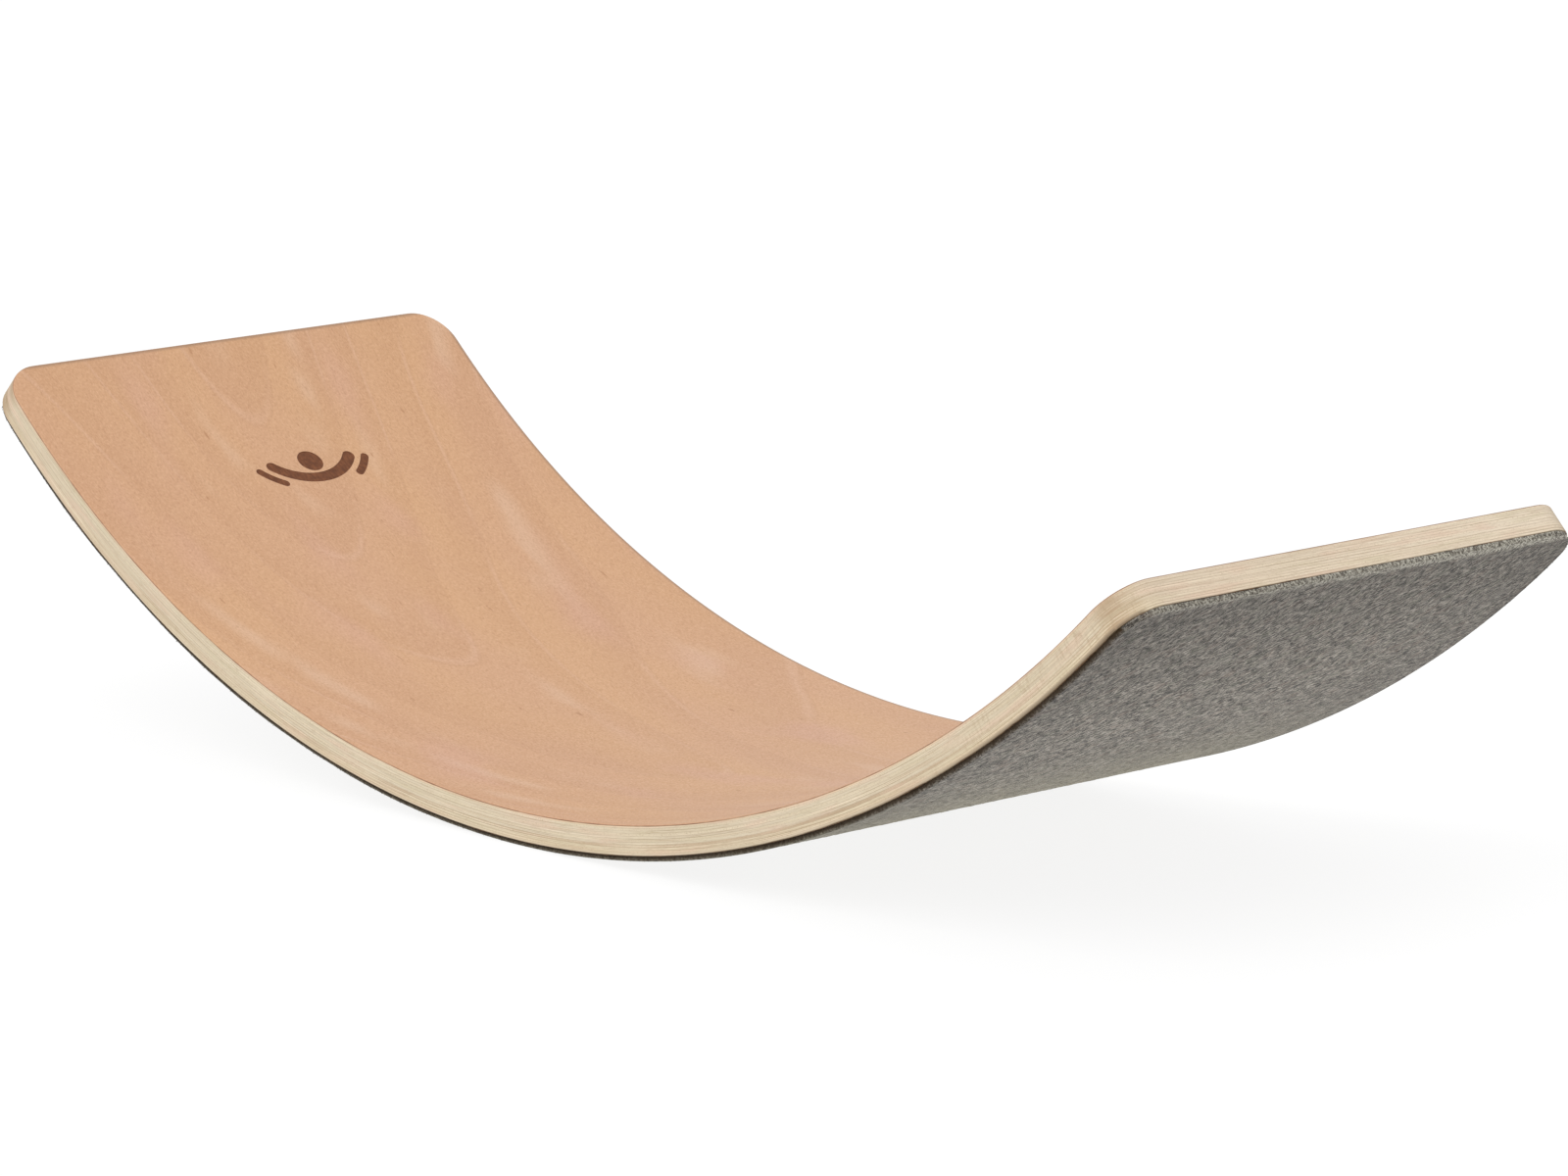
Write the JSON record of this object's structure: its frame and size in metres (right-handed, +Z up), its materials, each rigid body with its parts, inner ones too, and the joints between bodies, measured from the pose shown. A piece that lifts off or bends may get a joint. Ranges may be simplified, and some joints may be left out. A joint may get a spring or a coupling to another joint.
{
  "type": "balance board",
  "caption": "Curved plywood balance board with rounded corners and a grey felt sole, rocked from side to side by whoever stands on it.",
  "frame": {"origin": "middle of the felt's lowest face, where the level board touches the floor", "axes": "+X along the board's length, +Y across its width, +Z up, square to the deck at its middle"},
  "size_m": [0.8596, 0.3, 0.1882],
  "materials": {
    "face_veneer": "satin lacquered beech veneer",
    "core_veneer": "sanded pale veneer edge",
    "back_veneer": "sanded pale veneer edge",
    "adhesive": "dried contact adhesive",
    "felt": "pressed melange wool felt"
  },
  "bodies": {
    "root": {"face_veneer": "face_veneer", "core_veneer_1": "core_veneer", "core_veneer_2": "core_veneer", "core_veneer_3": "core_veneer", "core_veneer_4": "core_veneer", "core_veneer_5": "core_veneer", "core_veneer_6": "core_veneer", "core_veneer_7": "core_veneer", "core_veneer_8": "core_veneer", "core_veneer_9": "core_veneer", "back_veneer": "back_veneer", "adhesive_film": "adhesive", "felt_sole": "felt"}
  },
  "joints": []
}
